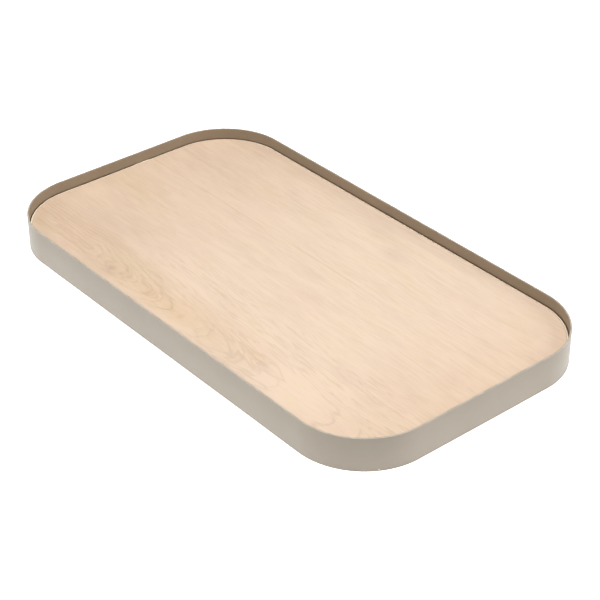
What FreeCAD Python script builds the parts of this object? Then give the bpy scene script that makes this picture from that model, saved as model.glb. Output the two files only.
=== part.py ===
import FreeCAD, Part
import math
import os

from FreeCAD import Vector

# A low serving tray: a veneered board lies inside a rim of bent steel strip, on tabs welded to the rim.
# Screws through the tabs hold the board, and four rubber feet are screwed to its underside.
# Millimetres. +X runs along the length, +Y across the width to the rear, and +Z up.
# The origin is on the table, under the middle of the tray.

# Rim
TRAY_LENGTH = 450.0
TRAY_WIDTH = 250.0
CORNER_RADIUS = 60.0            # outside of the bend
RIM_HEIGHT = 29.0               # width of the strip
RIM_WALL = 1.5                  # thickness of the strip
RIM_EDGE_ROUND = 0.4
FOOT_REACH = 1.0                # the feet stand this far below the rim

# Board
LIP_HEIGHT = 10.0               # from the serving surface up to the top of the rim
BOARD_GAP = 0.8                 # between the rim and the board, all round
CORE_THICKNESS = 9.0
VENEER_THICKNESS = 0.6
EDGE_BAND_THICKNESS = 1.5
EDGE_EASING = 0.5               # rounding of the board's outer edges
BAND_JOINT_GAP = 0.2            # where the two ends of the edge band meet
BAND_JOINT_FROM_CORNER = 46.0   # from the end of the rear left bend, along the left end

# Support tabs
TAB_LENGTH = 24.0               # along the rim
TAB_REACH = 16.0                # inwards from the rim
TAB_THICKNESS = 1.5
TAB_CORNER = 4.0
TAB_HOLE_INSET = 9.0            # from the rim's inner face to the screw
TAB_END_MARGIN = 35.0           # from the end of a straight side to the middle of the outer tab
WELD_LEG = 2.0                  # fillet weld under the tab

# Screws
SCREW_DIAMETER = 3.5            # over the thread
SCREW_CORE_DIAMETER = 2.5
SCREW_PITCH = 1.3
SCREW_POINT = 2.0
SCREW_HEAD_DIAMETER = 7.0
SCREW_HEAD_HEIGHT = 2.2
SCREW_HEAD_ROUND = 1.2
SCREW_CLEARANCE = 0.05          # on the radius, in every hole that a screw goes through
SCREW_COVER = 3.0               # board left above a screw's hole
SCREW_TIP_CLEARANCE = 0.5
CROSS_LENGTH = 3.6
CROSS_WIDTH = 0.9
CROSS_DEPTH = 1.3

# Feet
FOOT_INSET = 45.0               # from the outside of the rim to the foot's axis, both ways
FOOT_TOP_DIAMETER = 20.0
FOOT_BASE_DIAMETER = 17.0
FOOT_BASE_ROUND = 1.0
HEAD_RECESS = 1.2               # the screw's head stays this far above the table
WASHER_THICKNESS = 0.8
WASHER_DIAMETER = 9.6
WASHER_CLEARANCE = 0.2          # on the radius, round the washer in the foot

# Levels
RIM_BOTTOM = FOOT_REACH
RIM_TOP = RIM_BOTTOM + RIM_HEIGHT
BOARD_TOP = RIM_TOP - LIP_HEIGHT
BOARD_THICKNESS = CORE_THICKNESS + 2 * VENEER_THICKNESS
BOARD_BOTTOM = BOARD_TOP - BOARD_THICKNESS
CORE_BOTTOM = BOARD_BOTTOM + VENEER_THICKNESS
TAB_BOTTOM = BOARD_BOTTOM - TAB_THICKNESS
SCREW_HOLE_TOP = BOARD_TOP - SCREW_COVER
SCREW_TIP = SCREW_HOLE_TOP - SCREW_TIP_CLEARANCE
FOOT_SCREW_SEAT = HEAD_RECESS + SCREW_HEAD_HEIGHT
FOOT_RECESS = FOOT_SCREW_SEAT + WASHER_THICKNESS

# Distances inwards from the outside of the rim
INNER_FACE = RIM_WALL
BOARD_EDGE = INNER_FACE + BOARD_GAP
CORE_EDGE = BOARD_EDGE + EDGE_BAND_THICKNESS

STRAIGHT_X = TRAY_LENGTH / 2 - CORNER_RADIUS    # half of a long side's straight run
STRAIGHT_Y = TRAY_WIDTH / 2 - CORNER_RADIUS     # half of an end's straight run
UP = Vector(0, 0, 1)


def rounded_plate(inset, bottom, top):
    """A plate that follows the rim's outline at a distance inwards from its outside."""
    radius = CORNER_RADIUS - inset
    arcs = []
    for quarter, (side_x, side_y) in enumerate(((1, 1), (-1, 1), (-1, -1), (1, -1))):
        centre = Vector(side_x * STRAIGHT_X, side_y * STRAIGHT_Y, bottom)
        start = quarter * math.pi / 2
        circle = Part.Circle(centre, UP, radius)
        arcs.append(Part.ArcOfCircle(circle, start, start + math.pi / 2))
    edges = []
    for arc, following in zip(arcs, arcs[1:] + arcs[:1]):
        edges.append(arc.toShape())
        edges.append(Part.LineSegment(arc.EndPoint, following.StartPoint).toShape())
    return Part.Face(Part.Wire(edges)).extrude(UP * (top - bottom))


def ring(outer_inset, inner_inset, bottom, top):
    """A closed band between two insets."""
    return rounded_plate(outer_inset, bottom, top).cut(rounded_plate(inner_inset, bottom, top))


def level_edges(shape, levels, inset=None):
    """Edges that lie flat at one of the levels, all of them or only those at one inset."""
    chosen = []
    for edge in shape.Edges:
        box = edge.BoundBox
        flat = any(abs(box.ZMin - level) < 1e-6 and abs(box.ZMax - level) < 1e-6 for level in levels)
        point = edge.valueAt((edge.FirstParameter + edge.LastParameter) / 2)
        if flat and (inset is None or abs(inset_of(point) - inset) < 1e-6):
            chosen.append(edge)
    return chosen


def inset_of(point):
    """Distance of a point inwards from the outside of the rim."""
    beyond_x = max(abs(point.x) - STRAIGHT_X, 0)
    beyond_y = max(abs(point.y) - STRAIGHT_Y, 0)
    return CORNER_RADIUS - math.hypot(beyond_x, beyond_y)


def cylinder(diameter, x, y, bottom, top):
    return Part.makeCylinder(diameter / 2, top - bottom, Vector(x, y, bottom))


def tab_places():
    """Name, middle of the welded edge and outward direction in degrees of each tab."""
    side_y = TRAY_WIDTH / 2 - INNER_FACE
    end_x = TRAY_LENGTH / 2 - INNER_FACE
    outer_x = STRAIGHT_X - TAB_END_MARGIN
    places = []
    for side, y, outward in (("front", -side_y, -90), ("rear", side_y, 90)):
        for where, x in (("left", -outer_x), ("middle", 0), ("right", outer_x)):
            places.append((f"{side}_{where}", x, y, outward))
    places.append(("left_end", -end_x, 0, 180))
    places.append(("right_end", end_x, 0, 0))
    return places


def tab_screw_places():
    places = []
    for _, x, y, outward in tab_places():
        angle = math.radians(outward)
        places.append((x - TAB_HOLE_INSET * math.cos(angle), y - TAB_HOLE_INSET * math.sin(angle)))
    return places


def foot_places():
    """Name and axis of each foot."""
    foot_x = TRAY_LENGTH / 2 - FOOT_INSET
    foot_y = TRAY_WIDTH / 2 - FOOT_INSET
    return [
        (f"{depth}_{side}", x, y)
        for depth, y in (("front", -foot_y), ("rear", foot_y))
        for side, x in (("left", -foot_x), ("right", foot_x))
    ]


def foot_screw_places():
    return [(x, y) for _, x, y in foot_places()]


def rim_band():
    """Steel strip bent round and butt welded; the seam is ground flush before painting."""
    band = ring(0, INNER_FACE, RIM_BOTTOM, RIM_TOP)
    return band.makeFillet(RIM_EDGE_ROUND, level_edges(band, (RIM_BOTTOM, RIM_TOP)))


def support_tab(x, y, outward):
    """Tab with its weld bead. It is drawn with its welded edge on X = 0 and then turned into place."""
    plate = Part.makeBox(TAB_REACH, TAB_LENGTH, TAB_THICKNESS,
                         Vector(-TAB_REACH, -TAB_LENGTH / 2, -TAB_THICKNESS))
    corners = [
        edge for edge in plate.Edges
        if edge.BoundBox.ZLength > 0 and abs(edge.BoundBox.XMin + TAB_REACH) < 1e-6
        and edge.BoundBox.XLength < 1e-6 and edge.BoundBox.YLength < 1e-6
    ]
    plate = plate.makeFillet(TAB_CORNER, corners)
    bead_length = TAB_LENGTH - 2 * WELD_LEG
    bead_start = Vector(0, -bead_length / 2, -TAB_THICKNESS)
    bead = Part.makeCylinder(WELD_LEG, bead_length, bead_start, Vector(0, 1, 0))
    room = Part.makeBox(WELD_LEG, bead_length, WELD_LEG, bead_start - Vector(WELD_LEG, 0, WELD_LEG))
    tab = plate.fuse(bead.common(room)).removeSplitter()
    hole = cylinder(SCREW_DIAMETER + 2 * SCREW_CLEARANCE, -TAB_HOLE_INSET, 0, -TAB_THICKNESS, 0)
    tab = tab.cut(hole)
    tab.rotate(Vector(0, 0, 0), UP, outward)
    tab.translate(Vector(x, y, BOARD_BOTTOM))
    return tab


def screw_holes():
    """Holes for all of the screws, from the underside of the board up."""
    diameter = SCREW_DIAMETER + 2 * SCREW_CLEARANCE
    places = tab_screw_places() + foot_screw_places()
    return [cylinder(diameter, x, y, BOARD_BOTTOM, SCREW_HOLE_TOP) for x, y in places]


def board_core():
    return rounded_plate(CORE_EDGE, CORE_BOTTOM, BOARD_TOP - VENEER_THICKNESS).cut(screw_holes())


def face_veneer():
    return rounded_plate(CORE_EDGE, BOARD_TOP - VENEER_THICKNESS, BOARD_TOP)


def back_veneer():
    return rounded_plate(CORE_EDGE, BOARD_BOTTOM, CORE_BOTTOM).cut(screw_holes())


def edge_band():
    """Edging strip round the board. Its two ends meet at the left end, just behind its middle."""
    band = ring(BOARD_EDGE, CORE_EDGE, BOARD_BOTTOM, BOARD_TOP)
    band = band.makeFillet(EDGE_EASING, level_edges(band, (BOARD_BOTTOM, BOARD_TOP), BOARD_EDGE))
    joint_y = STRAIGHT_Y - BAND_JOINT_FROM_CORNER
    corner = Vector(-TRAY_LENGTH / 2, joint_y - BAND_JOINT_GAP / 2, BOARD_BOTTOM)
    return band.cut(Part.makeBox(CORE_EDGE, BAND_JOINT_GAP, BOARD_THICKNESS, corner))


def screw(x, y, seat):
    """Pan-head screw from below: the head's bearing face is at seat and the point is up."""
    head_radius = SCREW_HEAD_DIAMETER / 2
    head_bottom = seat - SCREW_HEAD_HEIGHT
    root = SCREW_CORE_DIAMETER / 2
    crest = SCREW_DIAMETER / 2
    shoulder = SCREW_TIP - SCREW_POINT
    turns = int((shoulder - seat) / SCREW_PITCH)
    corners = [Vector(0, 0, seat), Vector(root, 0, seat)]
    for turn in range(turns):
        start = shoulder - (turns - turn) * SCREW_PITCH
        corners.append(Vector(root, 0, start + 0.1 * SCREW_PITCH))
        corners.append(Vector(crest, 0, start + 0.45 * SCREW_PITCH))
        corners.append(Vector(crest, 0, start + 0.55 * SCREW_PITCH))
        corners.append(Vector(root, 0, start + 0.9 * SCREW_PITCH))
    corners.append(Vector(root, 0, shoulder))
    corners.append(Vector(0, 0, SCREW_TIP))
    corners.append(corners[0])
    thread = Part.Face(Part.makePolygon(corners)).revolve(Vector(0, 0, 0), UP, 360)
    head = Part.makeCylinder(head_radius, SCREW_HEAD_HEIGHT, Vector(0, 0, head_bottom))
    head = head.makeFillet(SCREW_HEAD_ROUND, level_edges(head, (head_bottom,)))
    body = head.fuse(thread)
    for length, width in ((CROSS_LENGTH, CROSS_WIDTH), (CROSS_WIDTH, CROSS_LENGTH)):
        corner = Vector(-length / 2, -width / 2, head_bottom)
        body = body.cut(Part.makeBox(length, width, CROSS_DEPTH, corner))
    body.translate(Vector(x, y, 0))
    return body


def board_screws():
    return Part.makeCompound([screw(x, y, TAB_BOTTOM) for x, y in tab_screw_places()])


def foot_screws():
    return Part.makeCompound([screw(x, y, FOOT_SCREW_SEAT) for x, y in foot_screw_places()])


def rubber_foot(x, y):
    """Bumper foot with a recess from below for the washer and the screw's head."""
    foot = Part.makeCone(FOOT_BASE_DIAMETER / 2, FOOT_TOP_DIAMETER / 2, BOARD_BOTTOM)
    foot = foot.makeFillet(FOOT_BASE_ROUND, level_edges(foot, (0,)))
    foot = foot.cut(cylinder(WASHER_DIAMETER + 2 * WASHER_CLEARANCE, 0, 0, 0, FOOT_RECESS))
    foot = foot.cut(cylinder(SCREW_DIAMETER + 2 * SCREW_CLEARANCE, 0, 0, FOOT_RECESS, BOARD_BOTTOM))
    foot.translate(Vector(x, y, 0))
    return foot


def foot_washers():
    """Steel washers that spread the screws' pull over the rubber."""
    washers = []
    for x, y in foot_screw_places():
        disc = cylinder(WASHER_DIAMETER, x, y, FOOT_SCREW_SEAT, FOOT_RECESS)
        hole = cylinder(SCREW_DIAMETER + 2 * SCREW_CLEARANCE, x, y, FOOT_SCREW_SEAT, FOOT_RECESS)
        washers.append(disc.cut(hole))
    return Part.makeCompound(washers)


def tray():
    """Every piece of the tray by its name."""
    pieces = {
        "rim_band": rim_band(),
        "board_core": board_core(),
        "face_veneer": face_veneer(),
        "back_veneer": back_veneer(),
        "edge_band": edge_band(),
        "board_screws": board_screws(),
        "foot_washers": foot_washers(),
        "foot_screws": foot_screws(),
    }
    for name, x, y, outward in tab_places():
        pieces[f"support_tab_{name}"] = support_tab(x, y, outward)
    for name, x, y in foot_places():
        pieces[f"foot_{name}"] = rubber_foot(x, y)
    return pieces


os.makedirs("parts", exist_ok=True)
for node, shape in tray().items():
    shape.exportStep(f"parts/{node}.step")
    print(node, round(shape.Volume, 1), "mm3", "valid" if shape.isValid() else "INVALID")
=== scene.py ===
import math

import bmesh
import bpy
from mathutils import Matrix, Vector


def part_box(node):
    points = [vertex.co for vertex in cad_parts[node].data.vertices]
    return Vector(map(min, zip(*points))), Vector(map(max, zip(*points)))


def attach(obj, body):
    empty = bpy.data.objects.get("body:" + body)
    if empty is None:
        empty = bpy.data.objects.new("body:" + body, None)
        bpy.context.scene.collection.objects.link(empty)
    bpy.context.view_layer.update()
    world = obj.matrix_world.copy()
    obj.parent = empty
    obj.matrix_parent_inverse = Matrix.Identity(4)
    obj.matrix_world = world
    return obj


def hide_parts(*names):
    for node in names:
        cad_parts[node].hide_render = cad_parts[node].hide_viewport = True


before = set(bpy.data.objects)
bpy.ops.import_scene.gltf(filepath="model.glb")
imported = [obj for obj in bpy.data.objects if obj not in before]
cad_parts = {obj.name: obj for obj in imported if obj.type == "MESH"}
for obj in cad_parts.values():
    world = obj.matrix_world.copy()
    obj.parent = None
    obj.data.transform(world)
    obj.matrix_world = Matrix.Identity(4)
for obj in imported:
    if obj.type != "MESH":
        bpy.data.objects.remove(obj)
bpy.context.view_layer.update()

BODY = "root"
MM = 0.001

# Sizes of the design that the frame's boxes don't give.
CORNER_RADIUS = 60 * MM
RIM_WALL = 1.5 * MM
RIM_EDGE_ROUND = 0.4 * MM
BAND_EASING = 0.5 * MM
BAND_JOINT_Y = 19 * MM          # where the edging's two ends meet, at the left end
BAND_JOINT_GAP = 0.2 * MM
BAND_SPRUNG_LENGTH = 9 * MM     # how much of each end has sprung out, and how far
BAND_SPRUNG_HEIGHT = 0.68 * MM
TAB_THICKNESS = 1.5 * MM
TAB_CORNER = 4 * MM
TAB_HOLE_INSET = 9 * MM
TAB_EASING = 0.25 * MM
WELD_LEG = 2 * MM
HOLE_RADIUS = 1.8 * MM
FOOT_TAPER = 1.5 * MM           # how much smaller the foot's base is than its top, in radius
FOOT_BASE_ROUND = 1.0 * MM
FOOT_RECESS_RADIUS = 5 * MM
FOOT_RECESS_DEPTH = 4.2 * MM

# Camera
LENS_MM = 105.33
CAMERA_AZIMUTH = 50.11
CAMERA_ELEVATION = 33.25
CAMERA_ROLL = -0.14
CAMERA_DISTANCE = 1.3985
CAMERA_TARGET = Vector((0.0153, 0.0018, 0.001))

# Stage. Lengths are in metres and the lights' power in watts.
FLOOR_GLOW = 1.25
FLOOR_SIZE = 9.0
WORLD_GREY = 0.09
TOP_LIGHT = 19.4
TOP_PLACE = Vector((0.10, -0.10, 1.4))
TOP_SIZE = (0.5, 0.5)
LEFT_LIGHT = 4.0
RIGHT_LIGHT = 7.1
SIDE_DISTANCE = 1.3
SIDE_HEIGHT = 0.62
SIDE_SIZE = (0.8, 0.6)


# ---------------------------------------------------------------- shader building

class Shader:
    """A material being built. Each method adds one node and returns its output socket."""

    def __init__(self, name):
        self.material = bpy.data.materials.new(name)
        self.material.use_nodes = True
        self.tree = self.material.node_tree
        self.tree.nodes.clear()

    def node(self, kind, inputs, output=0, **settings):
        made = self.tree.nodes.new(kind)
        for key, value in settings.items():
            setattr(made, key, value)
        for key, value in inputs.items():
            if isinstance(value, bpy.types.NodeSocket):
                self.tree.links.new(value, made.inputs[key])
            else:
                made.inputs[key].default_value = value
        return made.outputs[output] if len(made.outputs) else made

    def math(self, operation, *values):
        return self.node("ShaderNodeMath", dict(enumerate(values)), operation=operation)

    def add(self, a, b):
        return self.math("ADD", a, b)

    def subtract(self, a, b):
        return self.math("SUBTRACT", a, b)

    def multiply(self, a, b):
        return self.math("MULTIPLY", a, b)

    def divide(self, a, b):
        return self.math("DIVIDE", a, b)

    def vector(self, x, y, z=0.0):
        return self.node("ShaderNodeCombineXYZ", {"X": x, "Y": y, "Z": z})

    def split(self, vector):
        made = self.tree.nodes.new("ShaderNodeSeparateXYZ")
        self.tree.links.new(vector, made.inputs[0])
        return made.outputs[0], made.outputs[1], made.outputs[2]

    def place_mm(self):
        """The point's own coordinates in millimetres."""
        place = self.node("ShaderNodeTexCoord", {}, "Object")
        scaled = self.node("ShaderNodeVectorMath", {0: place, 1: (1000, 1000, 1000)},
                           operation="MULTIPLY")
        return self.split(scaled)

    def noise(self, vector, detail=2.0, roughness=0.5, scale=1.0):
        """Noise from 0 to 1, about 0.5, with one feature per unit of the vector."""
        return self.node("ShaderNodeTexNoise",
                         {"Vector": vector, "Scale": scale, "Detail": detail,
                          "Roughness": roughness})

    def remap(self, value, low, high, to_low=0.0, to_high=1.0, smooth=True):
        kind = "SMOOTHSTEP" if smooth else "LINEAR"
        return self.node("ShaderNodeMapRange",
                         {"Value": value, "From Min": low, "From Max": high,
                          "To Min": to_low, "To Max": to_high}, interpolation_type=kind)

    def mix(self, factor, a, b, blend="MIX"):
        """Colour a towards colour b."""
        made = self.tree.nodes.new("ShaderNodeMix")
        made.data_type = "RGBA"
        made.blend_type = blend
        for index, value in ((0, factor), (6, a), (7, b)):
            if isinstance(value, bpy.types.NodeSocket):
                self.tree.links.new(value, made.inputs[index])
            elif index:
                made.inputs[index].default_value = (*value, 1)
            else:
                made.inputs[index].default_value = value
        return made.outputs[2]

    def bump(self, height, distance, strength=1.0):
        return self.node("ShaderNodeBump",
                         {"Height": height, "Distance": distance, "Strength": strength})

    def finish(self, clear_from_behind=False, **sockets):
        """Puts a principled surface on the material. base_color is the socket named Base Color."""
        words = {"ior": "IOR"}
        inputs = {" ".join(words.get(word, word.title()) for word in key.split("_")): value
                  for key, value in sockets.items()}
        surface = self.node("ShaderNodeBsdfPrincipled", inputs)
        if clear_from_behind:
            behind = self.node("ShaderNodeNewGeometry", {}, "Backfacing")
            clear = self.node("ShaderNodeBsdfTransparent", {})
            surface = self.node("ShaderNodeMixShader", {0: behind, 1: surface, 2: clear})
        self.node("ShaderNodeOutputMaterial", {"Surface": surface})
        return self.material


# ---------------------------------------------------------------- materials

# Eyes in the oak's figure: x and y in millimetres, the radius that the grain flows round, and how
# much longer than wide they are.
OAK_EYES = (
    (-96, -102, 4.0, 2.2),
    (84, -94, 4.5, 2.6),
    (34, 84, 4.0, 2.6),
)
# Darker clouds in the face: x, y, half length and half width in millimetres, and depth.
OAK_CLOUDS = (
    (-96, -102, 4.5, 3.5, 1.0),
    (84, -94, 7.0, 3.0, 0.5),
    (-148, -64, 42.0, 17.0, 0.42),
    (-175, 72, 45.0, 16.0, 0.12),
    (2, 101, 14.0, 9.0, 0.36),
    (37, 83, 15.0, 10.0, 0.36),
    (44, -6, 9.0, 5.0, 0.24),
    (20, 15, 11.0, 5.0, 0.26),
)
# The straw-coloured heart of the tongue in the figure, written the same way.
OAK_STRAW = (
    (-28, -101, 62.0, 15.0, 1.0),
    (74, -92, 9.0, 5.0, 0.7),
    (-190, -8, 26.0, 14.0, 0.5),
    (30, -84, 60.0, 12.0, 0.45),
)
# The figure's tongue is made of growth lines in nested arches that point to +X: where they start,
# their middle line, how blunt they are, and the half width of the innermost one, in millimetres.
TONGUE_X = -130.0
TONGUE_Y = -100.0
TONGUE_BLUNT = 4.0
TONGUE_HEART = 5.0
LEAF_JOINT_Y = 31.0             # two leaves of veneer meet along this line
PAINT_CHIP = (216.0, -95.0, 2.5)    # near the rim's lower edge, at the front right corner


def oak_flow(s, x, y):
    """Coordinates in millimetres across the fibres, and across the growth lines."""
    wander = s.noise(s.vector(s.multiply(x, 0.005), s.multiply(y, 0.012), 3.1), 2.0)
    across = s.add(y, s.multiply(s.subtract(wander, 0.5), 16.0))
    ripple = s.noise(s.vector(s.multiply(x, 0.03), s.multiply(y, 0.05), 8.4), 2.0)
    across = s.add(across, s.multiply(s.subtract(ripple, 0.5), 3.0))
    for eye_x, eye_y, radius, stretch in OAK_EYES:
        along = s.divide(s.subtract(x, eye_x), stretch)
        side = s.subtract(y, eye_y)
        square = s.add(s.multiply(along, along), s.multiply(side, side))
        push = s.divide(s.multiply(side, radius * radius), s.add(square, 0.35 * radius * radius))
        across = s.subtract(across, push)
    side = s.subtract(across, TONGUE_Y)
    arch = s.multiply(s.math("MAXIMUM", s.subtract(x, TONGUE_X), 0.0), TONGUE_BLUNT)
    arch = s.add(s.multiply(side, side), s.add(arch, TONGUE_HEART ** 2))
    return across, s.math("SQRT", arch)


def oak_clouds(s, x, y, clouds):
    """How deep the clouds of a table are at a point of the face."""
    depth = 0.0
    for cloud_x, cloud_y, half_x, half_y, dark in clouds:
        along = s.divide(s.subtract(x, cloud_x), half_x)
        side = s.divide(s.subtract(y, cloud_y), half_y)
        square = s.add(s.multiply(along, along), s.multiply(side, side))
        depth = s.add(depth, s.multiply(s.math("EXPONENT", s.multiply(square, -1.0)), dark))
    return depth


def oak_material(name, light, contrast, figured=False, along=None):
    """Pale oak with its grain along X, or along the strip that the attribute named by along gives."""
    s = Shader(name)
    if along:
        place = s.node("ShaderNodeAttribute", {}, "Vector", attribute_name=along)
        x, y, edge = s.split(s.node("ShaderNodeVectorMath", {0: place, 1: (1000, 1000, 1)},
                                    operation="MULTIPLY"))
        flow = growth = y
        leaf = 4.4
    else:
        x, y, _ = s.place_mm()
        leaf = s.multiply(s.math("GREATER_THAN", y, LEAF_JOINT_Y), 9.7)
        flow, growth = oak_flow(s, x, y) if figured else (y, y)

    # Patches, growth lines, streaks, fibres and open pores, each finer than the one before.
    bands = s.noise(s.vector(s.multiply(x, 0.009), s.multiply(growth, 0.040), leaf), 3.0)
    mottle = s.noise(s.vector(s.multiply(x, 0.045), s.multiply(y, 0.11), leaf), 3.0, 0.6)
    rings = s.noise(s.vector(s.multiply(x, 0.012), s.multiply(growth, 0.22), leaf), 3.0, 0.6)
    streaks = s.noise(s.vector(s.multiply(x, 0.022), s.multiply(flow, 0.52), leaf), 3.0, 0.6)
    fibres = s.noise(s.vector(s.multiply(x, 0.050), s.multiply(flow, 1.2), leaf), 4.0, 0.65)
    lines = s.remap(s.math("ABSOLUTE", s.subtract(rings, 0.5)), 0.0, 0.035, 1.0, 0.0)
    pores = s.noise(s.vector(s.multiply(x, 0.16), s.multiply(flow, 3.4), leaf), 1.0)
    pores = s.multiply(s.remap(pores, 0.60, 0.74), s.remap(rings, 0.40, 0.62))

    tone = s.multiply(s.subtract(bands, 0.5), 0.55)
    tone = s.add(tone, s.multiply(s.subtract(mottle, 0.5), 0.24))
    tone = s.add(tone, s.multiply(s.subtract(streaks, 0.5), 0.45))
    tone = s.add(tone, s.multiply(s.subtract(rings, 0.5), 0.40))
    tone = s.add(tone, s.multiply(s.subtract(fibres, 0.5), 1.0))
    tone = s.add(tone, s.multiply(lines, 0.10))
    tone = s.add(tone, s.multiply(pores, 0.22))
    if figured:
        # A tongue of arched growth lines along the front edge, and straighter ones behind it.
        arcs = s.add(growth, s.multiply(s.subtract(mottle, 0.5), 7.0))
        arcs = s.remap(s.math("PINGPONG", arcs, 1.7), 0.8, 1.7)
        front = s.remap(s.add(growth, s.multiply(s.subtract(mottle, 0.5), 12.0)), 33, 22)
        front = s.multiply(front, s.remap(s.add(y, s.multiply(s.subtract(bands, 0.5), 12.0)), -112, -103))
        behind = s.multiply(s.remap(y, -30, -52), s.remap(x, -130, -40))
        tone = s.add(tone, s.multiply(s.multiply(arcs, front), 0.26))
        tone = s.add(tone, s.multiply(s.multiply(lines, behind), 0.24))
        tone = s.add(tone, s.multiply(front, 0.06))
    tone = s.math("MULTIPLY_ADD", tone, contrast, 0.12)
    dark = tuple(value * share for value, share in zip(light, (0.72, 0.68, 0.64)))
    colour = s.mix(s.remap(tone, 0.0, 1.0, smooth=False), light, dark)

    # Patches that lean to pink or to straw, drawn out along the grain.
    patch = s.noise(s.vector(s.multiply(x, 0.022), s.multiply(y, 0.055), 5.7), 3.0, 0.6)
    colour = s.mix(s.remap(patch, 0.48, 0.72, 0.0, 0.6), colour, (0.98, 0.955, 0.962), "MULTIPLY")
    colour = s.mix(s.remap(patch, 0.52, 0.30, 0.0, 0.6), colour, (0.985, 1.0, 0.945), "MULTIPLY")
    if along:
        # The strip's outer edge carries a painted highlight, strongest at the left end. A glue line
        # darkens its inner edge.
        left_end = s.remap(s.place_mm()[0], -120, -175, 0.35, 1.0)
        arris_highlight = s.multiply(s.remap(edge, 0.0, 0.7), left_end)
        colour = s.mix(arris_highlight, colour, (1.0, 0.89, 0.74))
        colour = s.mix(s.remap(edge, -0.3, -1.0, 0.0, 0.8), colour, (0.50, 0.40, 0.32), "MULTIPLY")
    if figured:
        # Both ends and the tongue are a shade warmer than the rest.
        warm = s.add(s.multiply(s.remap(x, 10, -225), 0.5), s.multiply(s.remap(x, 110, 225), 0.48))
        warm = s.add(warm, s.multiply(front, 0.30))
        warm = s.multiply(warm, s.remap(mottle, 0.25, 0.75, 0.7, 1.3, smooth=False))
        colour = s.mix(s.math("MINIMUM", warm, 1.0), colour, (0.925, 0.868, 0.80), "MULTIPLY")
        spread = s.multiply(s.subtract(mottle, 0.5), 14.0)
        dark_clouds = oak_clouds(s, x, s.add(y, s.multiply(spread, 0.3)), OAK_CLOUDS)
        straw = oak_clouds(s, x, s.add(y, spread), OAK_STRAW)
        colour = s.mix(s.math("MINIMUM", dark_clouds, 1.0), colour, (0.83, 0.78, 0.80), "MULTIPLY")
        colour = s.mix(s.math("MINIMUM", straw, 1.0), colour, (0.98, 0.955, 0.885), "MULTIPLY")
        waver = s.noise(s.vector(s.multiply(x, 0.02), 4.2), 2.0)
        seam = s.add(s.subtract(y, LEAF_JOINT_Y), s.multiply(s.subtract(waver, 0.5), 2.5))
        seam = s.remap(s.math("ABSOLUTE", seam), 0.1, 0.9, 1.0, 0.0)
        seam = s.multiply(seam, s.remap(s.noise(s.vector(s.multiply(x, 0.013), 7.7), 2.0), 0.35, 0.55))
        colour = s.mix(seam, colour, (0.92, 0.89, 0.87), "MULTIPLY")

    rough = s.math("MULTIPLY_ADD", fibres, 0.16, 0.44)
    rough = s.add(rough, s.multiply(pores, 0.12))
    height = s.subtract(s.multiply(fibres, 0.5), pores)
    return s.finish(base_color=colour, roughness=rough, normal=s.bump(height, 0.00005, 0.6))


def rim_paint():
    """Fine matt powder coat with an orange peel, a painted highlight with some wear on top, painted shade
    below and in the gap over the board, painted warm bounce light inside, and one chip.
    """
    s = Shader("rim_paint")
    x, y, z = s.place_mm()
    place = s.vector(x, y, z)
    peel = s.noise(place, 2.0, 0.55, 0.9)
    grit = s.noise(place, 2.0, 0.6, 4.5)
    cloud = s.noise(place, 3.0, 0.5, 0.02)
    wear = s.remap(s.noise(place, 3.0, 0.6, 0.12), 0.36, 0.60)
    colour = s.mix(s.remap(cloud, 0.3, 0.7), (0.287, 0.238, 0.182), (0.307, 0.255, 0.195))
    colour = s.mix(s.remap(grit, 0.35, 0.75, 0.0, 0.10), colour, (0.235, 0.195, 0.148))

    # Painted shadow, with some dust, in the gap round the board. The attribute is 1 on the rim's inside.
    low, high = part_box("rim_band")
    board_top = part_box("face_veneer")[1].z / MM
    inside = s.node("ShaderNodeAttribute", {}, "Fac", attribute_name="inside")
    gap_shadow_and_dust = s.multiply(s.remap(z, board_top + 1.1, board_top + 0.1),
                       s.remap(z, board_top - 3.0, board_top - 1.5))
    colour = s.mix(s.multiply(s.multiply(inside, gap_shadow_and_dust), 0.9), colour, (0.50, 0.37, 0.25), "MULTIPLY")

    # Painted warm light, bounced onto the inside from the board in front of it.
    colour = s.mix(s.multiply(inside, s.remap(z, board_top - 1.0, board_top)), colour,
                   (1.08, 0.99, 0.89), "MULTIPLY")

    # Painted shade along the lower edge, close to the floor.
    foot = s.multiply(s.remap(z, low.z / MM + 1.6, low.z / MM + 0.2), 0.8)
    colour = s.mix(foot, colour, (0.70, 0.67, 0.62), "MULTIPLY")
    # Painted highlight, with some wear, along the upper edge.
    crest = s.remap(z, high.z / MM - 0.45, high.z / MM - 0.10)
    top_edge_highlight_and_wear = s.multiply(crest, s.math("MULTIPLY_ADD", wear, 0.35, 0.65))
    colour = s.mix(top_edge_highlight_and_wear, colour, (0.52, 0.46, 0.375))
    to_chip = s.node("ShaderNodeVectorMath", {0: place, 1: PAINT_CHIP}, "Value",
                     operation="DISTANCE")
    chip = s.remap(s.add(to_chip, s.multiply(grit, 0.9)), 1.5, 1.2)
    colour = s.mix(chip, colour, (0.66, 0.64, 0.60))

    rough = s.math("MULTIPLY_ADD", grit, 0.14, 0.40)
    rough = s.subtract(rough, s.multiply(top_edge_highlight_and_wear, 0.10))
    height = s.add(s.multiply(peel, 0.8), s.multiply(grit, 0.2))
    height = s.subtract(height, s.multiply(chip, 1.5))
    return s.finish(base_color=colour, roughness=rough, normal=s.bump(height, 0.00012, 0.8))


def plywood():
    """Edges of the plies, seen only where the board is taken apart."""
    s = Shader("plywood")
    x, y, z = s.place_mm()
    ply = s.math("PINGPONG", s.multiply(z, 1.0 / 1.5), 1.0)
    fibres = s.noise(s.vector(s.multiply(x, 0.05), s.multiply(y, 0.9), z), 4.0, 0.6)
    colour = s.mix(s.remap(ply, 0.35, 0.65), (0.46, 0.35, 0.24), (0.33, 0.235, 0.15))
    colour = s.mix(s.multiply(fibres, 0.25), colour, (0.26, 0.17, 0.10))
    return s.finish(base_color=colour, roughness=0.75, normal=s.bump(fibres, 0.0001, 0.6))


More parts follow.
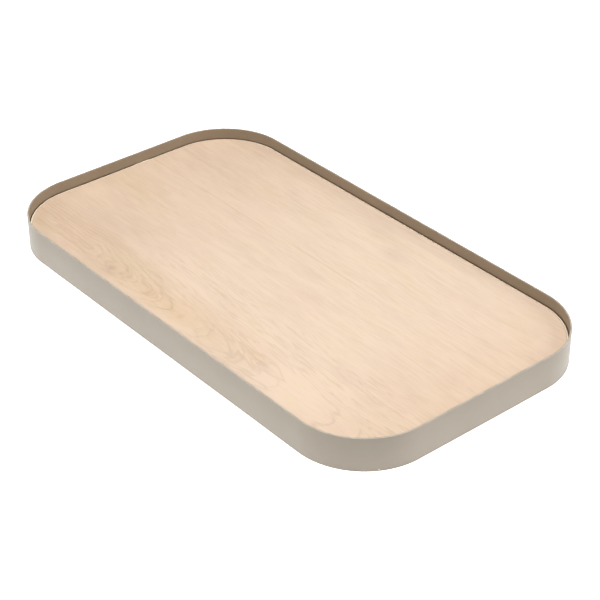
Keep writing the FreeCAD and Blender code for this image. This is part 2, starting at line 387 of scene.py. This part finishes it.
def zinc_plate():
    s = Shader("zinc_steel")
    x, y, z = s.place_mm()
    place = s.vector(x, y, z)
    cloud = s.noise(place, 3.0, 0.6, 0.6)
    grain = s.noise(place, 2.0, 0.6, 6.0)
    colour = s.mix(cloud, (0.60, 0.62, 0.65), (0.74, 0.74, 0.71))
    rough = s.math("MULTIPLY_ADD", grain, 0.20, 0.26)
    return s.finish(base_color=colour, metallic=1.0, roughness=rough,
                    normal=s.bump(grain, 0.00002, 0.4))


def foot_rubber():
    s = Shader("foot_rubber")
    x, y, z = s.place_mm()
    place = s.vector(x, y, z)
    grain = s.noise(place, 3.0, 0.6, 3.0)
    dust = s.remap(s.noise(place, 3.0, 0.6, 0.35), 0.45, 0.75)
    colour = s.mix(s.multiply(dust, 0.35), (0.022, 0.022, 0.023), (0.085, 0.080, 0.074))
    rough = s.math("MULTIPLY_ADD", grain, 0.20, 0.52)
    return s.finish(base_color=colour, roughness=rough, normal=s.bump(grain, 0.00005, 0.5))


def floor_material():
    """White glowing paper. From below it is clear, so that the tray's underside can be seen."""
    s = Shader("floor_paper")
    x, y, z = s.place_mm()
    grain = s.noise(s.vector(x, y, z), 2.0, 0.5, 0.5)
    return s.finish(clear_from_behind=True,
                    base_color=(0.80, 0.82, 0.84, 1), roughness=0.9, specular_ior_level=0.0,
                    emission_color=(0.95, 0.98, 1, 1), emission_strength=FLOOR_GLOW,
                    normal=s.bump(grain, 0.00005, 0.2))


# ---------------------------------------------------------------- meshes

def outline(half_x, half_y, radius, step, opening_y=0.0, opening=0.0, corner_steps=48):
    """Stations round a rounded rectangle, from the opening in its left end, front corner first.

    Each is (point, outward normal, distance along the outline)."""
    centre_x = half_x - radius
    centre_y = half_y - radius
    stations = []
    travelled = 0.0

    def straight(start, end, normal):
        nonlocal travelled
        length = (end - start).length
        steps = max(1, round(length / step))
        for i in range(steps):
            share = i / steps
            stations.append((start.lerp(end, share), normal, travelled + length * share))
        travelled += length

    def corner(centre, first):
        nonlocal travelled
        for i in range(corner_steps):
            turned = math.pi / 2 * i / corner_steps
            normal = Vector((math.cos(first + turned), math.sin(first + turned)))
            stations.append((centre + normal * radius, normal, travelled + radius * turned))
        travelled += radius * math.pi / 2

    left = Vector((-1, 0))
    front = Vector((0, -1))
    start = Vector((-half_x, opening_y - opening / 2))
    end = Vector((-half_x, opening_y + opening / 2))
    straight(start, Vector((-half_x, -centre_y)), left)
    corner(Vector((-centre_x, -centre_y)), math.pi)
    straight(Vector((-centre_x, -half_y)), Vector((centre_x, -half_y)), front)
    corner(Vector((centre_x, -centre_y)), 1.5 * math.pi)
    straight(Vector((half_x, -centre_y)), Vector((half_x, centre_y)), -left)
    corner(Vector((centre_x, centre_y)), 0.0)
    straight(Vector((centre_x, half_y)), Vector((-centre_x, half_y)), -front)
    corner(Vector((-centre_x, centre_y)), 0.5 * math.pi)
    straight(Vector((-half_x, centre_y)), end, left)
    if opening:
        stations.append((end, left, travelled))
    return stations, travelled


def make_mesh(name, points, faces, material):
    mesh = bpy.data.meshes.new(name)
    mesh.from_pydata([tuple(p) for p in points], [], faces)
    mesh.validate()
    mesh.update()
    for face in mesh.polygons:
        face.use_smooth = True
    piece = bpy.data.objects.new(name, mesh)
    bpy.context.scene.collection.objects.link(piece)
    piece.data.materials.append(material)
    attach(piece, BODY)
    return piece


def rounded_profile(width, low, high, rounds, steps=4):
    """A strip's section as (inset, height), from the low outer edge, up the outside.

    rounds gives the radius at the low outer, high outer, high inner and low inner edge."""
    corners = ((0, low, 1, 1), (0, high, 1, -1), (width, high, -1, -1), (width, low, -1, 1))
    starts = (1.5, 1.0, 0.5, 0.0)
    profile = []
    for (inset, height, way_in, way_up), start, radius in zip(corners, starts, rounds):
        centre = (inset + way_in * radius, height + way_up * radius)
        for i in range(steps + 1):
            angle = (start - 0.5 * i / steps) * math.pi
            profile.append((centre[0] + radius * math.cos(angle), centre[1] + radius * math.sin(angle)))
    return profile


def loop_faces(loops, points_each, closed, caps=False):
    """Quads between neighbouring loops of points, and a face over each end if caps is set."""
    faces = []
    for i in range(loops if closed else loops - 1):
        here = i * points_each
        there = (i + 1) % loops * points_each
        for j in range(points_each):
            k = (j + 1) % points_each
            faces.append((here + j, there + j, there + k, here + k))
    if caps:
        last = (loops - 1) * points_each
        faces.append(tuple(range(points_each)))
        faces.append(tuple(range(last, last + points_each))[::-1])
    return faces


def sweep(name, stations, profile, closed, material, wave):
    """The profile carried along the stations. wave gives a point's new inset and height."""
    points = []
    for point, normal, travelled in stations:
        for inset, height in profile:
            inset, height = wave(travelled, inset, height)
            points.append((point.x - normal.x * inset, point.y - normal.y * inset, height))
    faces = loop_faces(len(stations), len(profile), closed, caps=not closed)
    return make_mesh(name, points, faces, material)


def crisp(piece, angle_degrees):
    """Smooth shading that stops at edges sharper than the angle."""
    piece.data.set_sharp_from_angle(angle=math.radians(angle_degrees))


def face_outwards(piece):
    """Turns every face of a closed mesh to look outwards."""
    mesh = bmesh.new()
    mesh.from_mesh(piece.data)
    bmesh.ops.recalc_face_normals(mesh, faces=mesh.faces)
    mesh.to_mesh(piece.data)
    mesh.free()


def rim(material):
    low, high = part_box("rim_band")
    stations, length = outline(high.x, high.y, CORNER_RADIUS, 5 * MM)
    profile = rounded_profile(RIM_WALL, low.z, high.z, [RIM_EDGE_ROUND] * 4)
    face_wander = 0.06 * MM
    edge_wander = 0.16 * MM

    def wave(travelled, inset, height):
        """The hand-bent strip isn't dead straight: its face and its lower edge wander a little."""
        turn = 2 * math.pi * travelled / length
        push = 0.5 + 0.25 * math.sin(5 * turn + 0.6) + 0.25 * math.sin(9 * turn + 2.1)
        lift = 0.5 + 0.3 * math.sin(7 * turn + 1.3) + 0.2 * math.sin(13 * turn)
        share = (high.z - height) / (high.z - low.z)
        return inset + face_wander * push, height + edge_wander * lift * share

    piece = sweep("rim_strip", stations, profile, True, material, wave)
    inside = piece.data.attributes.new("inside", "FLOAT", "POINT")
    across = [inset / RIM_WALL for inset, _ in profile]
    inside.data.foreach_set("value", across * len(stations))
    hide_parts("rim_band")


def edging(material):
    """The edging strip. Its two ends have sprung out a little where they meet."""
    low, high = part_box("edge_band")
    width = high.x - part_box("board_core")[1].x
    radius = CORNER_RADIUS - (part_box("rim_band")[1].x - high.x)
    stations, length = outline(high.x, high.y, radius, 1.5 * MM, BAND_JOINT_Y, BAND_JOINT_GAP)
    hair = 0.06 * MM
    profile = rounded_profile(width, low.z, high.z, [BAND_EASING, BAND_EASING, hair, hair])
    arc = len(profile) // 4
    # 1 round the upper outer edge and -1 round the upper inner one. Two more points lie between them.
    edges = [0.0] * arc + [1.0] * arc + [0.0, 0.0] + [-1.0] * arc + [0.0] * arc
    profile[2 * arc:2 * arc] = [(BAND_EASING + 0.8 * MM, high.z), (width - 0.3 * MM, high.z)]

    def wave(travelled, inset, height):
        to_end = min(travelled, length - travelled) / BAND_SPRUNG_LENGTH
        lift = BAND_SPRUNG_HEIGHT * (1 - min(1.0, to_end) ** 4)
        return inset - lift * (1 - inset / width), height

    piece = sweep("edge_strip", stations, profile, False, material, wave)
    strip = piece.data.attributes.new("strip", "FLOAT_VECTOR", "POINT")
    places = []
    for _, _, travelled in stations:
        for (inset, height), edge in zip(profile, edges):
            places.extend((travelled, inset + height, edge))
    strip.data.foreach_set("vector", places)
    crisp(piece, 40)
    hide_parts("edge_band")


def tab_outline(reach, half, corner, shrink):
    """Points round a tab's plate, as (inwards, sideways), shrunk evenly by the given amount."""
    steps = 8
    points = []
    weld_corner = 0.4 * MM
    for inwards, sideways, radius, first in (
            (reach, half, corner, 0.0), (0.0, half, weld_corner, 0.5),
            (0.0, -half, weld_corner, 1.0), (reach, -half, corner, 1.5)):
        centre_in = inwards - radius if inwards else radius
        centre_side = math.copysign(half - radius, sideways)
        for i in range(steps + 1):
            angle = (first + 0.5 * i / steps) * math.pi
            points.append((centre_in + (radius - shrink) * math.cos(angle),
                           centre_side + (radius - shrink) * math.sin(angle)))
    return points


def hole_outline(reach, half, corner, radius):
    """Points round a tab's hole, each in the direction of the plate's point with the same number."""
    points = []
    for inwards, sideways in tab_outline(reach, half, corner, 0.0):
        away = Vector((inwards - TAB_HOLE_INSET, sideways)).normalized() * radius
        points.append((TAB_HOLE_INSET + away.x, away.y))
    return points


def tab_plate(reach, half, low, high):
    """Loops of points over a plate with eased edges and a drilled hole."""
    chamfer = 0.15 * MM
    burr = hole_outline(reach, half, TAB_CORNER, HOLE_RADIUS + chamfer)
    bore = hole_outline(reach, half, TAB_CORNER, HOLE_RADIUS)
    loops = [[(*point, high) for point in burr]]
    arc = (0, 30, 60, 90)
    rounding = [(math.radians(90 - a), high - TAB_EASING) for a in arc]
    rounding += [(math.radians(-a), low + TAB_EASING) for a in arc]
    for angle, centre in rounding:
        shrink = TAB_EASING * (1 - math.cos(angle))
        height = centre + TAB_EASING * math.sin(angle)
        loops.append([(*point, height) for point in tab_outline(reach, half, TAB_CORNER, shrink)])
    loops.append([(*point, low) for point in burr])
    loops.append([(*point, low + chamfer) for point in bore])
    loops.append([(*point, high - chamfer) for point in bore])
    return loops


def weld_bead(half, top):
    """Loops of points along a rippled fillet under a tab, tapered at both ends."""
    steps = 80
    arc_steps = 8
    bead_half = half - WELD_LEG
    sunk = 0.15 * MM
    taper_length = 1.6 * MM
    ripple_bow = 0.55 * MM
    ripple_pitch = 1.5 * MM
    loops = []
    for i in range(steps + 1):
        sideways = bead_half * (2 * i / steps - 1)
        to_end = min(1.0, (bead_half - abs(sideways)) / taper_length)
        taper = math.sqrt(max(0.02, 1 - (1 - to_end) ** 2))
        loop = [(-sunk, sideways, top + sunk), (WELD_LEG * taper * 0.9, sideways, top + sunk)]
        for j in range(arc_steps + 1):
            angle = math.pi / 2 * j / arc_steps
            bow = ripple_bow * math.sin(2 * angle)
            ripple = 0.93 + 0.07 * math.cos(2 * math.pi * (sideways + bow) / ripple_pitch)
            leg = WELD_LEG * taper * ripple
            loop.append((leg * math.cos(angle), sideways, top - leg * math.sin(angle)))
        loop.append((-sunk, sideways, top - WELD_LEG * taper * 0.9))
        loops.append(loop)
    return loops


def support_tab(name, material):
    """A tab with its weld bead, made with the rim's inner face at zero and turned into place."""
    low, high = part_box(name)
    centre = (low + high) / 2
    size = high - low
    if size.x > size.y:
        out = Vector((0, math.copysign(1, centre.y), 0))
    else:
        out = Vector((math.copysign(1, centre.x), 0, 0))
    reach, length = sorted((size.x, size.y))
    side = Vector((-out.y, out.x, 0))
    origin = Vector((centre.x, centre.y, 0)) + out * reach / 2
    plate_low = high.z - TAB_THICKNESS
    points = []
    faces = []
    plate = tab_plate(reach, length / 2, plate_low, high.z)
    bead = weld_bead(length / 2, plate_low)
    for loops, closed in ((plate, True), (bead, False)):
        start = len(points)
        each = len(loops[0])
        for loop in loops:
            for inwards, sideways, height in loop:
                place = origin - out * inwards + side * sideways
                points.append((place.x, place.y, height))
        for face in loop_faces(len(loops), each, closed, caps=not closed):
            faces.append(tuple(start + corner for corner in face))
    piece = make_mesh(name.replace("support_tab", "tab"), points, faces, material)
    face_outwards(piece)
    crisp(piece, 50)
    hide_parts(name)


def rubber_foot(name, material):
    """A moulded bumper: flange, neck, tapered body, tread groove and the recess for the washer."""
    low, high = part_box(name)
    centre = (low + high) / 2
    top_radius = (high.x - low.x) / 2
    height = high.z - low.z
    base_radius = top_radius - FOOT_TAPER
    recess_top = low.z + FOOT_RECESS_DEPTH

    def side(z, inset):
        """Point of the tapered side at a height over the table, set in by the given amount."""
        return base_radius + (top_radius - base_radius) * z / height - inset, low.z + z

    section = [(HOLE_RADIUS, high.z), (top_radius - 0.35 * MM, high.z),
               (top_radius - 0.12 * MM, high.z - 0.08 * MM)]
    # The flange and the neck: each point's depth under the top and its inset, in millimetres.
    neck = ((0.3, 0.02), (1.3, 0.02), (1.5, 0.12), (1.7, 0.35), (2.2, 0.38), (2.5, 0.20), (2.8, 0.08))
    section += [side(height - depth * MM, inset * MM) for depth, inset in neck]
    section += [side(3.0 * MM, 0.03 * MM), side(FOOT_BASE_ROUND, 0.03 * MM)]
    for degrees in (15, 30, 45, 60, 75, 90):
        turned = math.radians(degrees)
        section.append((base_radius - FOOT_BASE_ROUND * (1 - math.cos(turned)),
                        low.z + FOOT_BASE_ROUND * (1 - math.sin(turned))))
    # The tread groove: each point's radius and depth, in millimetres.
    groove = ((6.95, 0.0), (6.80, 0.10), (6.72, 0.38), (6.28, 0.38), (6.20, 0.10), (6.05, 0.0))
    section += [(radius * MM, low.z + depth * MM) for radius, depth in groove]
    section += [(FOOT_RECESS_RADIUS + 0.3 * MM, low.z),
                (FOOT_RECESS_RADIUS + 0.08 * MM, low.z + 0.1 * MM),
                (FOOT_RECESS_RADIUS, low.z + 0.35 * MM), (FOOT_RECESS_RADIUS, recess_top),
                (HOLE_RADIUS, recess_top)]
    turns = 72
    points = []
    for i in range(turns):
        angle = 2 * math.pi * i / turns
        for radius, z in section:
            points.append((centre.x + radius * math.cos(angle), centre.y + radius * math.sin(angle), z))
    faces = loop_faces(turns, len(section), True)
    piece = make_mesh(name.replace("foot", "bumper"), points, faces, material)
    face_outwards(piece)
    crisp(piece, 50)
    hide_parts(name)


def paint_nodes(names, material):
    for name in names:
        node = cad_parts[name]
        node.data.materials.clear()
        node.data.materials.append(material)


# ---------------------------------------------------------------- stage

def floor():
    size = FLOOR_SIZE / 2
    mesh = bpy.data.meshes.new("floor")
    mesh.from_pydata([(-size, -size, 0), (size, -size, 0), (size, size, 0), (-size, size, 0)], [],
                     [(0, 1, 2, 3)])
    piece = bpy.data.objects.new("floor", mesh)
    bpy.context.scene.collection.objects.link(piece)
    piece.data.materials.append(floor_material())


def area_light(name, place, target, size, power):
    data = bpy.data.lights.new(name, "AREA")
    data.shape = "RECTANGLE"
    data.size, data.size_y = size
    data.energy = power
    light = bpy.data.objects.new(name, data)
    light.location = place
    light.rotation_euler = (Vector(target) - place).to_track_quat("-Z", "Y").to_euler()
    bpy.context.scene.collection.objects.link(light)


def lights():
    """A faint even sky that looks white, a soft box overhead and one low on each side."""
    world = bpy.data.worlds.new("studio")
    world.use_nodes = True
    nodes = world.node_tree.nodes
    links = world.node_tree.links
    seen = nodes.new("ShaderNodeLightPath").outputs["Is Camera Ray"]
    strength = nodes.new("ShaderNodeMapRange")
    strength.inputs["To Min"].default_value = WORLD_GREY
    strength.inputs["To Max"].default_value = 1.0
    links.new(seen, strength.inputs["Value"])
    links.new(strength.outputs["Result"], nodes["Background"].inputs["Strength"])
    nodes["Background"].inputs["Color"].default_value = (1, 1, 1, 1)
    bpy.context.scene.world = world
    area_light("top", TOP_PLACE, (TOP_PLACE.x, TOP_PLACE.y, 0), TOP_SIZE, TOP_LIGHT)
    turn = math.radians(CAMERA_AZIMUTH)
    right = Vector((math.cos(turn), math.sin(turn), 0))
    for name, side, power in (("left", -1, LEFT_LIGHT), ("right", 1, RIGHT_LIGHT)):
        place = right * side * SIDE_DISTANCE + Vector((0, 0, SIDE_HEIGHT))
        area_light(name, place, (0, 0, 0), SIDE_SIZE, power)


def camera():
    azimuth = math.radians(CAMERA_AZIMUTH)
    elevation = math.radians(CAMERA_ELEVATION)
    back = Vector((math.sin(azimuth) * math.cos(elevation),
                   -math.cos(azimuth) * math.cos(elevation), math.sin(elevation)))
    right = Vector((math.cos(azimuth), math.sin(azimuth), 0))
    up = back.cross(right)
    turn = Matrix((right, up, back)).transposed()
    data = bpy.data.cameras.new("camera")
    data.lens = LENS_MM
    data.sensor_width = 36.0
    data.clip_end = 50.0
    piece = bpy.data.objects.new("camera", data)
    place = CAMERA_TARGET + back * CAMERA_DISTANCE
    roll = Matrix.Rotation(math.radians(CAMERA_ROLL), 4, "Z")
    piece.matrix_world = Matrix.Translation(place) @ turn.to_4x4() @ roll
    bpy.context.scene.collection.objects.link(piece)
    bpy.context.scene.camera = piece


def build():
    oak_face = oak_material("oak_face", (0.757, 0.594, 0.456), 0.9, figured=True)
    oak_back = oak_material("oak_back", (0.52, 0.395, 0.28), 1.8)
    oak_edge = oak_material("oak_edging", (0.74, 0.59, 0.45), 0.9, along="strip")
    paint = rim_paint()
    zinc = zinc_plate()
    rubber = foot_rubber()
    rim(paint)
    edging(oak_edge)
    for name in [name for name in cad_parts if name.startswith("support_tab")]:
        support_tab(name, paint)
    for side in ("front_left", "front_right", "rear_left", "rear_right"):
        rubber_foot("foot_" + side, rubber)
    paint_nodes(["face_veneer"], oak_face)
    paint_nodes(["back_veneer"], oak_back)
    paint_nodes(["board_core"], plywood())
    paint_nodes(["board_screws", "foot_screws", "foot_washers"], zinc)


build()
floor()
lights()
camera()
bpy.context.scene.view_settings.view_transform = "Standard"
